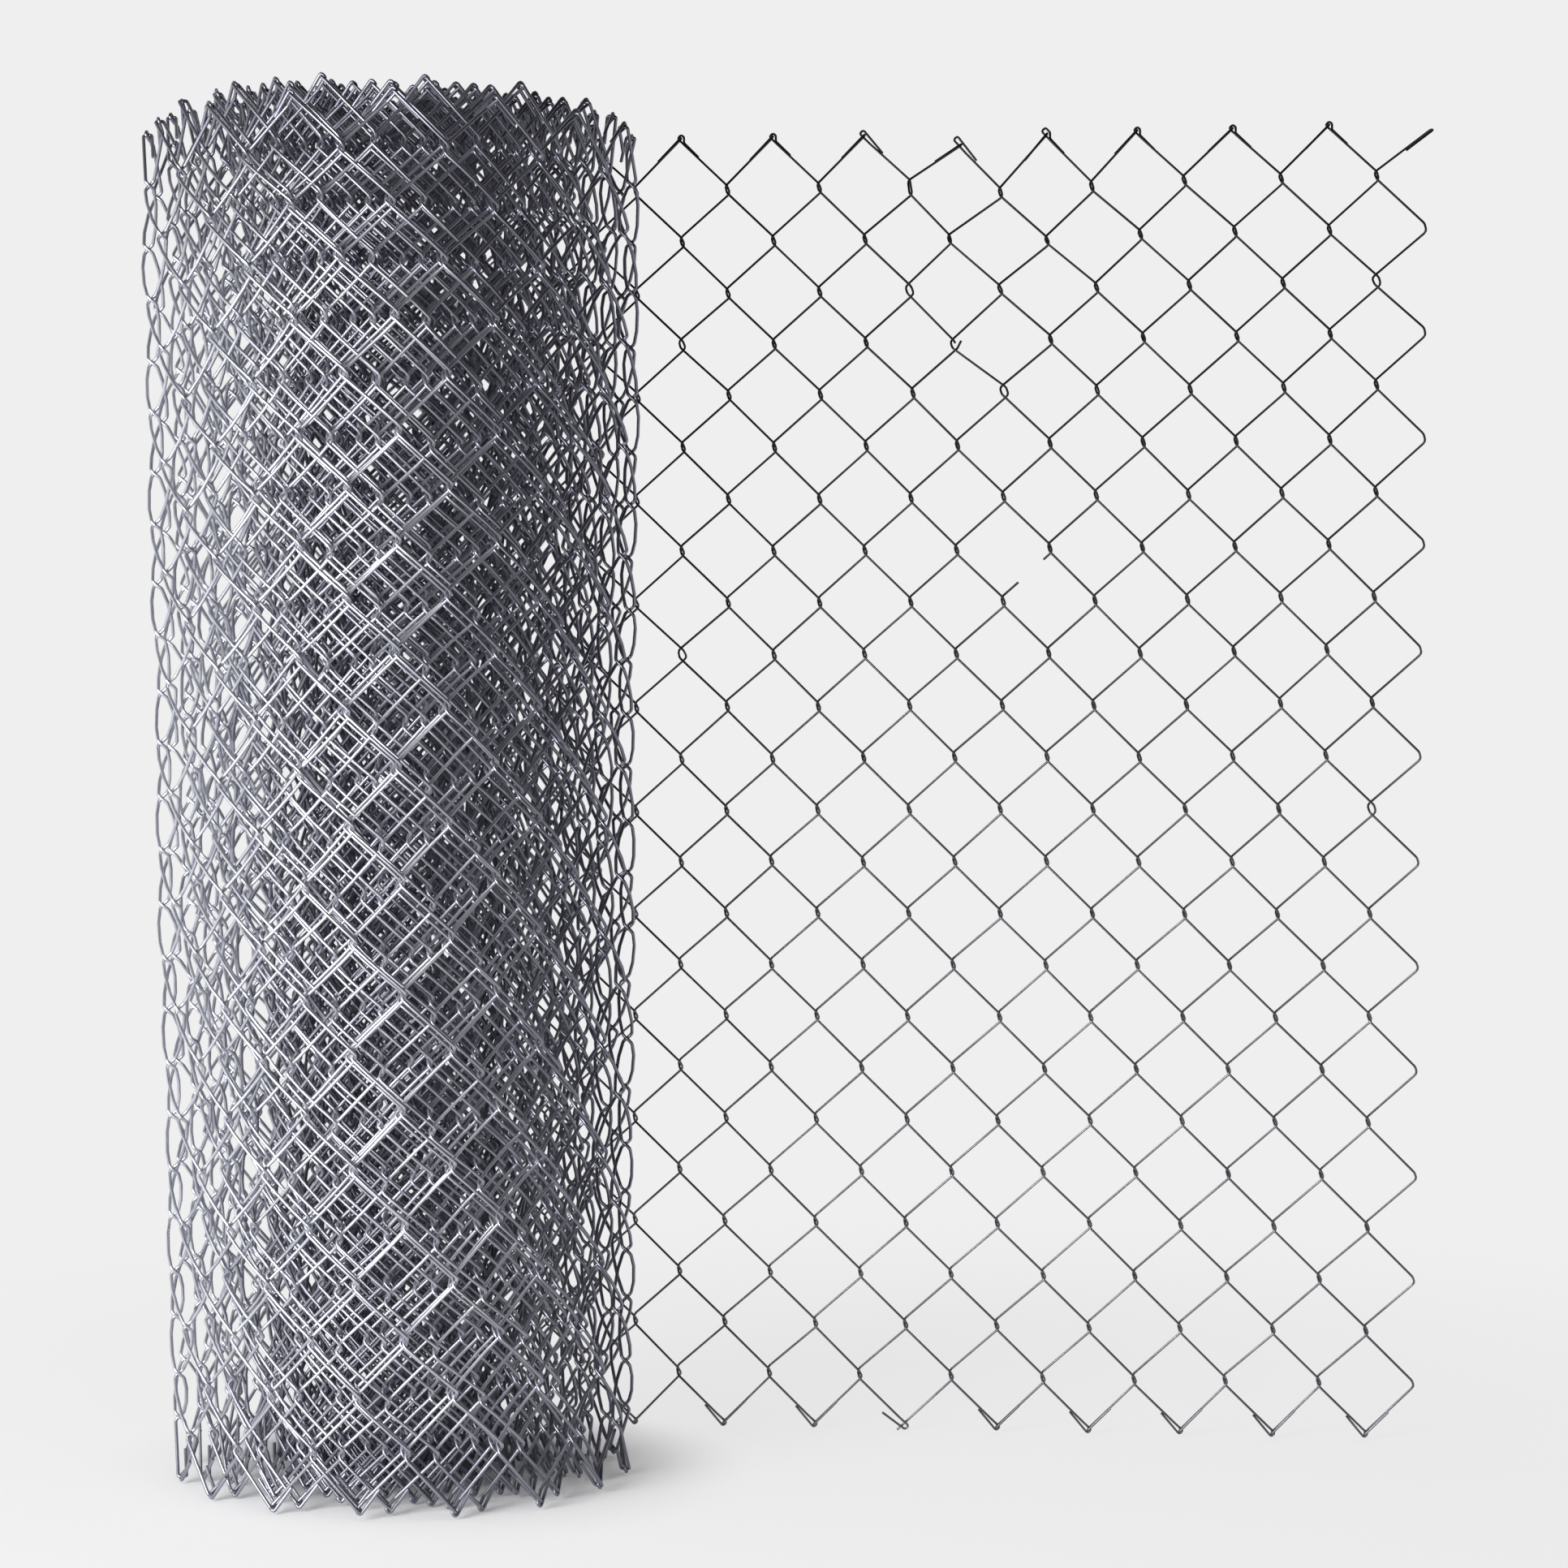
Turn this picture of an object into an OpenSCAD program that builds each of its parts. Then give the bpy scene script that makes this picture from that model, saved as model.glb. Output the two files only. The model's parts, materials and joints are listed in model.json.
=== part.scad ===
// Roll of galvanised chain-link fencing that stands on its end, with its free end drawn out straight.
// Z is the axis of the roll, whose lower end is at z = 0. The free end leaves the back of the roll
// along +X. Each of its wires zigzags from top to bottom and is hooked into the wires beside it.

/* [Fabric] */
// Height of the fabric, from tip to tip
fence_h = 1200; // [600:50:2000]
// Width of one diamond, between the middles of its hooks
diamond_w = 84.9; // [70:0.1:110]
// Height of one diamond, before whole rows are fitted into the fabric
diamond_h = 96; // [80:1:120]
// Diameter of the wire
wire_d = 2.5; // [2:0.1:3.5]
// Room on each side of a wire that passes between the front and the back of the fabric
face_room = 1.1; // [0.6:0.1:2.5]
// Clearance between two wires that are hooked together
hook_gap = 0.3; // [0.1:0.05:0.6]

/* [Knuckled edges] */
// Length of the end that is folded back behind or in front of its own run
fold_l = 30; // [15:1:40]
// Length of the end that is looped round a fold and turned back beside its own run
loop_l = 24; // [16:1:40]
// Length over which the wire of a loop leaves its face of the fabric
twist_l = 10; // [8:0.5:14]

/* [Roll] */
// Outer diameter of the wound turns
roll_d = 410; // [300:5:600]
// Diameter of the bore
bore_d = 60; // [40:1:120]
// Turns of fabric between the bore and the outside
turns = 18; // [8:1:20]
// Width of the gap that shows between two turns on the ends
turn_gap = 2.5; // [1:0.5:4]
// Depth of the gap between two turns
turn_gap_depth = 24; // [10:1:60]

/* [Free end] */
// Wires that are drawn out of the roll
free_wires = 21; // [3:1:30]
// Distance from the axis of the roll to the first column of hooks
first_column = 10.4; // [0:0.1:15]
// Clearance between the roll and the free end
seat_gap = 0.3; // [0.1:0.05:0.6]

/* [Broken wire] */
// Wire that is broken, counted from the roll
broken_wire = 13; // [1:1:30]
// Run of that wire that has lost its middle, counted from the top
broken_run = 8; // [2:1:10]
// Length left on the upper side of the break
upper_stub = 7; // [4:0.5:20]
// Length left on the lower side of the break
lower_stub = 17; // [4:0.5:25]

/* [Hidden] */
wire_sides = 6;
roll_facets = 128;
steel = "slategray";

// Front and back runs of the fabric, far enough apart for a third wire to pass between them
fabric_t = 3 * wire_d + 2 * face_room;
face_y = (fabric_t - wire_d) / 2;
wire_step = wire_d + hook_gap;

// Rows of the fabric: an odd number of half diamonds, so that tips at the top and the bottom alternate
half_rows = 2 * floor(fence_h / diamond_h) + 1;
column_w = diamond_w / 2;
tip_inset = 1.6 * wire_step + 0.75 * wire_d;
half_row = (fence_h - 2 * tip_inset) / half_rows;

// A bend reaches past its column by bend_over, so that hooked wires cross with hook_gap between them
bend_over = wire_step / 2;
bend_x = column_w / 2 + bend_over;
bend_drop = half_row * face_y / (2 * (bend_x + face_y));

// A tip's knuckle: the way along a wire's last run, the way out from it, and the loop round a fold
tip = [column_w / 2, 0, fence_h - tip_inset];
tip_slope = (half_row - bend_drop) / (column_w + bend_over);
along = unit([1, 0, tip_slope]);
outward = unit([-tip_slope, 0, 1]);
loop_rise = wire_step * (loop_l + wire_step) / loop_l;
loop_y = -face_y * wire_step / twist_l;

// The roll and the place of the free end against it
turn_pitch = (roll_d - bore_d) / 2 / turns;
free_end_y = roll_d / 2 + seat_gap + fabric_t / 2;

wire_numbers = [for (n = [1 : free_wires]) n];
function wire_name(n) = str("wire_", n < 10 ? "0" : "", n);

function unit(v) = v / norm(v);
function turned(points) = [for (i = [len(points) - 1 : -1 : 0]) points[i]];
function at_y(p, y) = [p.x, y, p.z];

// The runs that climb to the right lie on the back of the fabric, the others on its front
function layer_y(run) = run % 2 == 0 ? face_y : -face_y;

// The two corners of the bend at a level, on the right at even levels and on the left at odd ones
function bend(level) =
    let (
        x = level % 2 == 0 ? bend_x : -bend_x,
        z = tip.z - level * half_row
    )
    [
        [x, layer_y(level - 1), z + bend_drop],
        [x, layer_y(level), z - bend_drop]
    ];

// Top end of every odd wire: it crosses to the other face at the tip and is folded back over its own run
function folded_end() =
    [
        at_y(tip - along * fold_l, -face_y),
        at_y(tip, -face_y),
        at_y(tip, face_y)
    ];

// Top end of every even wire: it loops round the fold of its neighbour and turns back beside its own run
function looped_end() =
    [
        at_y(tip - along * loop_l, face_y),
        at_y(tip + along * wire_step + outward * loop_rise, loop_y),
        at_y(tip + (along - outward) * wire_step, loop_y),
        at_y(tip - along * twist_l - outward * wire_step, face_y)
    ];

function is_odd(n) = n % 2 == 1;
function top_end(n) = is_odd(n) ? folded_end() : looped_end();

// The bottom end is the top end turned half a turn in the plane of the fabric
function bottom_end(n) = [for (p = turned(top_end(n))) [-p.x, p.y, fence_h - p.z]];

function wire_line(n) =
    concat(
        top_end(n),
        [for (level = [1 : half_rows - 1], corner = bend(level)) corner],
        bottom_end(n)
    );

// Every even wire is turned half a turn about its own vertical, so that its hooks meet the odd ones
function placed(points, n) =
    let (way = is_odd(n) ? 1 : -1)
    [for (p = points)
        [way * p.x + first_column + (n - 0.5) * column_w, way * p.y + free_end_y, p.z]];

// A broken wire is two lines, which end in stubs on both sides of the break
function wire_lines(n) =
    let (line = wire_line(n))
    n != broken_wire ? [line] :
    let (
        lower = len(top_end(n)) + 2 * broken_run,
        upper = lower - 1,
        run = unit(line[lower] - line[upper])
    )
    [
        concat([for (i = [0 : upper]) line[i]], [line[upper] + run * upper_stub]),
        concat([line[lower] - run * lower_stub], [for (i = [lower : len(line) - 1]) line[i]])
    ];

// Normal of the plane in which a swept wire turns from one run of its line to the next
function mitre(line, i) =
    let (last = len(line) - 1)
    unit(line[min(i + 1, last)] - line[min(i, last - 1)])
    + unit(line[max(i, 1)] - line[max(i - 1, 0)]);

// Ring of points on the mitre at place i, carried along the run from the ring before it
function next_ring(ring, line, i) =
    let (run = line[i] - line[i - 1], normal = mitre(line, i))
    [for (p = ring) p + run * ((line[i] - p) * normal) / (run * normal)];

// First ring of a wire, square to its first run
function first_ring(line) =
    let (
        run = unit(line[1] - line[0]),
        side = unit(cross(run, [0, 1, 0])),
        up = cross(side, run),
        step = 360 / wire_sides
    )
    [for (k = [0 : wire_sides - 1])
        line[0] + wire_d / 2 * (side * cos(k * step) + up * sin(k * step))];

function rings(line) =
    [for (i = 0, ring = first_ring(line);
        i < len(line);
        i = i + 1, ring = i < len(line) ? next_ring(ring, line, i) : ring)
        each ring];

// Wire of round section, swept along a line with mitred corners
module swept_wire(line) {
    last = (len(line) - 1) * wire_sides;
    sides = [for (k = [0 : wire_sides - 1]) k];
    walls = [for (start = [0 : wire_sides : last - 1], k = sides)
        let (next = (k + 1) % wire_sides)
        [start + k, start + next, start + wire_sides + next, start + wire_sides + k]];
    polyhedron(
        points = rings(line),
        faces = concat([turned(sides)], walls, [[for (k = sides) last + k]])
    );
}

// One zigzag wire of the free end
module free_wire(n) {
    color(steel)
        for (line = wire_lines(n))
            swept_wire(placed(line, n));
}

// Half section of the wound turns, with the gaps between them open at both ends
module roll_section() {
    difference() {
        translate([bore_d / 2, 0])
            square([(roll_d - bore_d) / 2, fence_h]);
        for (turn = [1 : turns - 1], z = [0, fence_h])
            translate([bore_d / 2 + turn * turn_pitch, z])
                square([turn_gap, 2 * turn_gap_depth], center = true);
    }
}

// The wound turns of fabric
module roll() {
    color(steel)
        rotate_extrude($fn = roll_facets)
            roll_section();
}

roll();
for (n = wire_numbers)
    free_wire(n);
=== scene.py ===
import json
import math

import bpy
import numpy as np
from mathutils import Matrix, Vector


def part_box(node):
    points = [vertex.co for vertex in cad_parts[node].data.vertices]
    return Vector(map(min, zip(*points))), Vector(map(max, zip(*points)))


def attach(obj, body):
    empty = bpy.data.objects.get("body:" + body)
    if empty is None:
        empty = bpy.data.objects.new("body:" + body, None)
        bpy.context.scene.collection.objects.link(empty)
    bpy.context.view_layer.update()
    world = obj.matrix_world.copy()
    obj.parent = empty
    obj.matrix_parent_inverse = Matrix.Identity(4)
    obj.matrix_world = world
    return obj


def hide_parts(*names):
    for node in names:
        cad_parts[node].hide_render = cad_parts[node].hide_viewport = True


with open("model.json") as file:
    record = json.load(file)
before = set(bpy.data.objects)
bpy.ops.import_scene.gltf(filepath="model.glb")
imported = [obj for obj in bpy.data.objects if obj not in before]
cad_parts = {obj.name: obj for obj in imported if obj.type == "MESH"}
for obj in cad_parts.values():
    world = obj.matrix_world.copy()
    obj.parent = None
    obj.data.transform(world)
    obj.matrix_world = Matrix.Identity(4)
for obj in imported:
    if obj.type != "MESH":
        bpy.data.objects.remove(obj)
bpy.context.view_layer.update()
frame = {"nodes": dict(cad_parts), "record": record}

bl_info = {
    "name": "Roll of wire fencing",
    "version": (1, 0, 0),
    "blender": (4, 5, 0),
    "location": "View3D > Sidebar > Fencing",
    "description": "Winds chain-link fabric into a roll and draws its free end out straight",
    "category": "Object",
}

# Sizes and places that the packed part fixes, in metres
FENCE_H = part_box("roll")[1].z
FREE_WIRES = sorted(node for node in frame["nodes"] if node.startswith("wire_"))
FIRST_LOW, FIRST_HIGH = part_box(FREE_WIRES[0])
COLUMN_W = (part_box(FREE_WIRES[2])[0].x - FIRST_LOW.x) / 2
FIRST_COLUMN_X = (FIRST_LOW.x + FIRST_HIGH.x - COLUMN_W) / 2
FREE_END_Y = (FIRST_LOW.y + FIRST_HIGH.y) / 2
BORE_R = next(m for m in frame["record"]["mounts"] if m["kind"] == "bore")["dims"]["r_mm"] / 1000


def length(name, description, default):
    """A property that holds a length in metres."""
    return bpy.props.FloatProperty(
        name=name, description=description, default=default, precision=5, unit="LENGTH", subtype="DISTANCE"
    )


def factor(name, description, default):
    """A property that holds a share from 0 to 1."""
    return bpy.props.FloatProperty(
        name=name, description=description, default=default, min=0, max=1, subtype="FACTOR"
    )


def scalar(name, description, default):
    """A property that holds a plain number."""
    return bpy.props.FloatProperty(name=name, description=description, default=default)


def angle(name, description, degrees):
    """A property that holds an angle, given in degrees."""
    return bpy.props.FloatProperty(
        name=name, description=description, default=math.radians(degrees), subtype="ANGLE"
    )


def count(name, description, default):
    """A property that holds a whole number."""
    return bpy.props.IntProperty(name=name, description=description, default=default, min=1)


def colour(name, description, default):
    """A property that holds a linear colour."""
    return bpy.props.FloatVectorProperty(
        name=name, description=description, default=default, size=3, min=0, max=1, subtype="COLOR"
    )


def place(name, description, default):
    """A property that holds a point in metres."""
    return bpy.props.FloatVectorProperty(
        name=name, description=description, default=default, size=3, unit="LENGTH", subtype="TRANSLATION"
    )


class FabricSizes(bpy.types.PropertyGroup):
    """Sizes of the woven fabric."""

    wire_d: length("Wire", "Diameter of the wire", 0.0025)
    face_room: length("Face room", "Room beside a wire that passes between the faces", 0.0011)
    hook_gap: length("Hook gap", "Clearance between two hooked wires", 0.0001)
    hook_slant: length("Hook slant", "How far right a hook's lower end stands of its upper end", 0.0022)
    diamond_h: length("Diamond height", "Height of one diamond, before whole rows are fitted", 0.096)
    fold_l: length("Fold", "Length of an end that is folded over its own run", 0.030)
    loop_l: length("Loop", "Length of an end that is looped and turned back beside its run", 0.024)
    twist_l: length("Twist", "Length over which a loop leaves its face of the fabric", 0.010)
    bend_r: length("Bend radius", "Radius to which the wire is bent at its corners", 0.0042)
    knuckle_bend: factor("Knuckle bend", "Radius of the bends in a knuckle, as a share of the others", 0.4)
    bend_points: count("Bend points", "Steps round one bend", 2)


class WindingSizes(bpy.types.PropertyGroup):
    """Sizes of the wound turns."""

    turns: count("Turns", "Turns between the bore and the outside", 18)
    pieces: count("Pieces", "Meshes that the wound turns are divided into", 5)
    sides: count("Sides", "Sides of the wire's section", 6)
    wire_d: length("Wire", "Diameter of the wire with its zinc", 0.0031)
    closed: factor("Closed", "How much narrower its diamonds are than those of the free end", 0.05)
    seat_turn: scalar("Seat turn", "Part of a turn over which the fabric settles on the roll", 0.25)
    loose_room: length("Loose room", "Extra room between the outermost turns, in all", 0.062)
    loose_turns: scalar("Loose turns", "Turns over which that room is used up", 3.75)
    oval: factor("Oval", "How much wider the roll is across than through", 0.03)
    taper: length("Taper", "How much wider the radius is at the top than at the bottom", 0.015)
    lean: length("Lean", "How far the top stands to the left of the bottom", 0.006)
    rise: length("Rise", "How far the inner turns rise above the outer ones at the top", 0.022)
    rise_turns: scalar("Rise turns", "Turns from the outside over which they come to rise", 2.0)
    sag: length("Sag", "How far the top sags on the left and the right", 0.016)
    jitter: length("Jitter", "Unevenness of a single wire's height", 0.002)
    wave: length("Wave", "How far the fabric is bowed up and down halfway up the roll", 0.024)
    bow: length("Bow", "How far the runs bow out of the faces of the fabric", 0.002)
    wander: length("Wander", "How far the hooks stray from their even places", 0.009)
    wander_scale: scalar("Wander scale", "Strays for each metre", 5.0)
    crush: length("Crush", "How much further they stray in the inner turns", 0.012)
    seed: count("Seed", "Seed of the unevenness", 7)


class FreeEndSizes(bpy.types.PropertyGroup):
    """Sizes of the free end and of its damage."""

    sides: count("Sides", "Sides of the wire's section", 8)
    wire_d: length("Wire", "Diameter of the wire, which has lost some of its zinc", 0.0022)
    wander: length("Wander", "How far the hooks stray from their even places", 0.0045)
    wander_scale: scalar("Wander scale", "Strays for each metre", 7.0)
    eye_reach: length("Eye reach", "How far the bends of an open hook pass their column", 0.0030)
    lean: length("Lean", "How far its top stands to the right of its bottom", 0.0065)
    stretch: length("Stretch", "How much taller it is than the fabric in the roll", 0.010)
    far_stretch: length("Far stretch", "How much taller still it is at its far end", 0.009)
    stretch_peak: factor("Stretch peak", "Share of the height at which it leans and is stretched most", 0.8)
    broken_wire: count("Broken wire", "Wire that is broken, counted from the roll", 13)
    broken_run: count("Broken run", "Run of that wire that has lost its middle, counted from the top", 8)
    upper_stub: length("Upper stub", "Length left above the break", 0.011)
    lower_stub: length("Lower stub", "Length left below the break", 0.021)
    parted_wire: count("Parted wire", "Wire that has parted at a hook, counted from the roll", 11)
    parted_level: count("Parted level", "Level of that hook, counted from the top", 4)
    parted_stub: place("Parted stub", "Way and length of the stub below that hook", (0.0037, 0, 0.0072))
    long_hook: scalar("Long hook", "How many times as tall as the others a drawn hook is", 1.9)
    bare_tip: length("Bare tip", "Length of an end that was never folded", 0.011)
    tail_stand: length("Tail stand", "How far an opened loop's tail stands off its run", 0.0060)
    loose_tip: place("Loose tip", "How far the last wire's top has left its place", (0.006, 0, -0.007))
    seed: count("Seed", "Seed of the unevenness", 3)


class WireFinish(bpy.types.PropertyGroup):
    """Finish of the wire."""

    bright: colour("Bright zinc", "Clean zinc", (0.70, 0.71, 0.76))
    grey: colour("Grey zinc", "Zinc that has greyed", (0.42, 0.43, 0.49))
    # Painted shade: the roll's inner turns, its rims and its unlit right side are coloured in this darker
    # tone in place of their shade
    shaded: colour("Shaded zinc", "Zinc of the inner turns, the rims and the right side", (0.21, 0.21, 0.255))
    # Painted shade: the free end is coloured this dark as though it stood unlit
    dark: colour("Dark zinc", "Weathered zinc of the free end", (0.030, 0.031, 0.034))
    shine: factor("Shine", "Roughness of clean zinc", 0.36)
    dull: factor("Dull", "Roughness of greyed zinc", 0.50)
    patches: scalar("Patches", "Greyed patches for each metre", 16.0)
    patch_from: factor("Patch from", "Level of the patches' noise at which the zinc starts to grey", 0.38)
    patch_to: factor("Patch to", "Level of the patches' noise at which it is fully greyed", 0.62)
    patch_share: factor("Patch share", "Share of the patches in the wear, of which spangle is the rest", 0.65)
    spangles: scalar("Spangles", "Grains of spangle for each metre", 420.0)
    ripples: scalar("Ripples", "Ripples of the coat for each metre", 900.0)
    ripple_strength: factor("Ripple strength", "How strongly the ripples turn the surface", 0.12)
    ripple_depth: length("Ripple depth", "Depth of a ripple", 0.0004)


class StudioSettings(bpy.types.PropertyGroup):
    """Camera, light and floor."""

    camera: place("Camera", "Place of the camera", (0.6641, -3.5369, 0.7956))
    pitch: angle("Pitch", "Angle at which the camera looks down", 2.90)
    heading: angle("Heading", "Angle at which the camera looks left of the depth axis", 5.27)
    lens: scalar("Lens", "Focal length in millimetres, on a frame of 36 mm", 93.16)
    backdrop: colour("Backdrop", "Colour of the background", (0.863, 0.863, 0.863))
    floor: colour("Floor", "Colour of the floor", (0.80, 0.80, 0.80))
    floor_glow: factor("Floor glow", "Share of the background's own colour in the floor by the object", 0.82)
    dim: factor("Dim side", "Level of the unlit side of the studio, which only the metal shows", 0.02)
    ambient: factor("Ambient", "Level of the light from all round on dull surfaces", 0.60)
    key: place("Key light", "Place of the key light", (-1.35, -2.30, 0.75))
    key_power: scalar("Key power", "Power of the key light in watts", 145.0)
    side: place("Side light", "Place of the side light", (-2.60, -0.45, 0.95))
    side_power: scalar("Side power", "Power of the side light in watts", 8.0)
    light_width: length("Light width", "Width of a light", 1.5)
    light_height: length("Light height", "Height of a light", 1.6)


class Value:
    """An output socket of a node tree. Arithmetic on it adds Math nodes to the tree."""

    def __init__(self, tree, socket=None):
        self.tree = tree
        self.socket = socket

    def node(self, kind, settings, sockets, output=0):
        """Adds any other node: its settings first, then the values or links of its sockets."""
        made = self.tree.nodes.new(kind)
        for name, value in settings.items():
            setattr(made, name, value)
        for name, value in sockets.items():
            matching = [s for s in made.inputs if name in (s.identifier, s.name)]
            target = made.inputs[name] if isinstance(name, int) else matching[0]
            if isinstance(value, Value):
                self.tree.links.new(value.socket, target)
            else:
                target.default_value = value
        return Value(self.tree, made.outputs[output] if len(made.outputs) else None)

    def maths(self, operation, first, second):
        """Maths of two numbers."""
        return self.node("ShaderNodeMath", {"operation": operation}, {0: first, 1: second})

    def vectors(self, operation, first, second=(0, 0, 0), output="Vector"):
        """Maths of two vectors, or of the first alone, of which the output Value is a number."""
        return self.node("ShaderNodeVectorMath", {"operation": operation}, {0: first, 1: second}, output)

    def scaled(self, vector, share):
        """A vector times a number."""
        return self.node("ShaderNodeVectorMath", {"operation": "SCALE"}, {0: vector, "Scale": share})

    def part(self, vector, axis):
        """The part of a vector along an axis."""
        return self.node("ShaderNodeSeparateXYZ", {}, {"Vector": vector}, axis)

    def __add__(self, other):
        return self.maths("ADD", self, other)

    def __sub__(self, other):
        return self.maths("SUBTRACT", self, other)

    def __rsub__(self, other):
        return self.maths("SUBTRACT", other, self)

    def __mul__(self, other):
        return self.maths("MULTIPLY", self, other)


# A knuckle reaches past its tip by so many steps between hooked wires and so many diameters of the wire
KNUCKLE_STEPS = 1.6
KNUCKLE_WIRES = 0.75

# Share of a run, from either end, at which it is bowed out in full
BOW_SHARE = 0.3


class Weave:
    """Lines of the fabric's wires, each in its own frame: x along the fabric, y out of it, z up.

    A line is an array of corners. Each is x, y, z and a share of the radius to which the wire is bent there.
    The wire of the sizes sets the distance of the faces, and the other one the step between hooked wires.
    """

    def __init__(self, sizes, wire_d):
        self.face_y = sizes.wire_d + sizes.face_room
        self.step = wire_d + sizes.hook_gap
        self.sizes = sizes
        self.half_rows = 2 * math.floor(FENCE_H / sizes.diamond_h) + 1
        tip_inset = KNUCKLE_STEPS * self.step + KNUCKLE_WIRES * sizes.wire_d
        self.half_row = (FENCE_H - 2 * tip_inset) / self.half_rows
        bend_x = COLUMN_W / 2 + self.step / 2
        self.drop = self.half_row * self.face_y / (2 * (bend_x + self.face_y))
        self.tip = np.array((COLUMN_W / 2, 0, FENCE_H - tip_inset))
        slope = (self.half_row - self.drop) / (COLUMN_W + self.step / 2)
        self.along = np.array((1, 0, slope)) / math.hypot(1, slope)
        self.outward = np.array((-slope, 0, 1)) / math.hypot(1, slope)

    def layer(self, run):
        """The runs that climb to the right lie on the back of the fabric, the others on its front."""
        return self.face_y if run % 2 == 0 else -self.face_y

    def bend(self, level, reach, drop, slant):
        """Two corners of the bend at a level, on the right at even levels and on the left at odd ones."""
        x = (COLUMN_W / 2 + reach) * (1 if level % 2 == 0 else -1)
        z = self.tip[2] - level * self.half_row
        return [
            (x - slant / 2, self.layer(level - 1), z + drop),
            (x + slant / 2, self.layer(level), z - drop),
        ]

    def from_tip(self, along, outward, y):
        """A point by a tip: so far along the last run, so far out from it, and so deep in the fabric."""
        return self.tip + self.along * along + self.outward * outward + (0, y, 0)

    def folded_end(self):
        """Top end that crosses to the other face at the tip and is folded back over its own run."""
        return [
            self.from_tip(-self.sizes.fold_l, 0, -self.face_y),
            self.from_tip(0, 0, -self.face_y),
            self.from_tip(0, 0, self.face_y),
        ]

    def looped_end(self, tight):
        """Top end that loops round its neighbour's fold and turns back beside its run, or tight behind it."""
        step, face_y, sizes = self.step, self.face_y, self.sizes
        inner = -face_y * step / sizes.twist_l
        rise = step * (sizes.loop_l + step) / sizes.loop_l
        if tight:
            tail = [
                self.from_tip(-sizes.loop_l, -step / 2, face_y - step),
                self.from_tip(-sizes.twist_l / 2, -step / 2, 0),
                self.from_tip(-step / 2, rise, inner),
            ]
        else:
            tail = [self.from_tip(-sizes.loop_l, 0, face_y)]
        return [
            *tail,
            self.from_tip(step, rise, inner),
            self.from_tip(step, -step, inner),
            self.from_tip(-sizes.twist_l, -step, face_y),
        ]

    def line(self, folded, tight=False, odd_hooks=None):
        """A whole wire from top to bottom, and how many corners its top end has.

        Odd hooks are the reach and the drop of those that differ from the others, by level.
        """
        top = self.folded_end() if folded else self.looped_end(tight)
        low = self.folded_end() if folded else self.looped_end(False)
        bottom = [(-p[0], p[1], FENCE_H - p[2]) for p in reversed(low)]
        slant = self.sizes.hook_slant * (1 if folded else -1)
        usual = (self.step / 2, self.drop)
        middle = []
        for level in range(1, self.half_rows):
            reach, drop = (odd_hooks or {}).get(level, usual)
            middle += self.bend(level, reach, drop, slant)
        knuckle = self.sizes.knuckle_bend
        shares = [knuckle] * len(top) + [1] * len(middle) + [knuckle] * len(bottom)
        return np.c_[[*top, *middle, *bottom], shares], len(top)

    def bowed_line(self, folded, bow):
        """A wire whose runs bow out of the faces of the fabric, at corners that are not bent further."""
        line, ends = self.line(folded)
        bowed = list(line[: ends + 1])
        for before, after in zip(line[ends + 1 : -ends : 2], line[ends + 2 : -ends : 2]):
            out = (0, math.copysign(bow, before[1]), 0, -1)
            way = (after - before) * BOW_SHARE
            bowed += [before, before + way + out, after - way + out, after]
        return np.array([*bowed, *line[-ends - 1 :]])


def unit(vector):
    """The vector made one long."""
    return vector / np.linalg.norm(vector)


def smooth(t):
    """Eases from 0 to 1 as t goes from 0 to 1."""
    t = np.clip(t, 0.0, 1.0)
    return t * t * (3 - 2 * t)


def link(data, name):
    """A new object of the scene."""
    made = bpy.data.objects.new(name, data)
    bpy.context.scene.collection.objects.link(made)
    return made


def line_object(name, lines):
    """A curve object with a straight-sided spline for each line."""
    curve = bpy.data.curves.new(name, "CURVE")
    curve.dimensions = "3D"
    for line in lines:
        spline = curve.splines.new("POLY")
        spline.points.add(len(line) - 1)
        spline.points.foreach_set("co", np.c_[line[:, :3], np.ones(len(line))].ravel())
        spline.points.foreach_set("radius", line[:, 3])
    return link(curve, name)


WIRE_INPUTS = {
    "Wire Diameter": "NodeSocketFloat",
    "Bend Radius": "NodeSocketFloat",
    "Bend Points": "NodeSocketInt",
    "Sides": "NodeSocketInt",
    "Wander": "NodeSocketFloat",
    "Wander Scale": "NodeSocketFloat",
    "Seed": "NodeSocketFloat",
}
WINDING_INPUTS = {
    "Folded Wire": "NodeSocketObject",
    "Looped Wire": "NodeSocketObject",
    "Fabric Height": "NodeSocketFloat",
    "Closed": "NodeSocketFloat",
    "Oval": "NodeSocketFloat",
    "Taper": "NodeSocketFloat",
    "Lean": "NodeSocketFloat",
    "Sag": "NodeSocketFloat",
    "Wave": "NodeSocketFloat",
    "Crush": "NodeSocketFloat",
}


def new_tree(name, inputs):
    """A geometry tree with named inputs, and those inputs as values."""
    tree = bpy.data.node_groups.new(name, "GeometryNodeTree")
    tree.interface.new_socket("Geometry", in_out="OUTPUT", socket_type="NodeSocketGeometry")
    tree.interface.new_socket("Geometry", in_out="INPUT", socket_type="NodeSocketGeometry")
    for socket_name, kind in inputs.items():
        tree.interface.new_socket(socket_name, in_out="INPUT", socket_type=kind)
    entry = tree.nodes.new("NodeGroupInput")
    return tree, {s.name: Value(tree, s) for s in entry.outputs if s.name}


def close_tree(tree, geometry):
    """Ends a tree with its output."""
    geometry.node("NodeGroupOutput", {}, {"Geometry": geometry})


def stored(geometry, name, value):
    """Geometry whose points keep a whole number under a name."""
    settings = {"data_type": "INT", "domain": "POINT"}
    return geometry.node(
        "GeometryNodeStoreNamedAttribute", settings, {"Geometry": geometry, "Name": name, "Value": value}
    )


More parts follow.
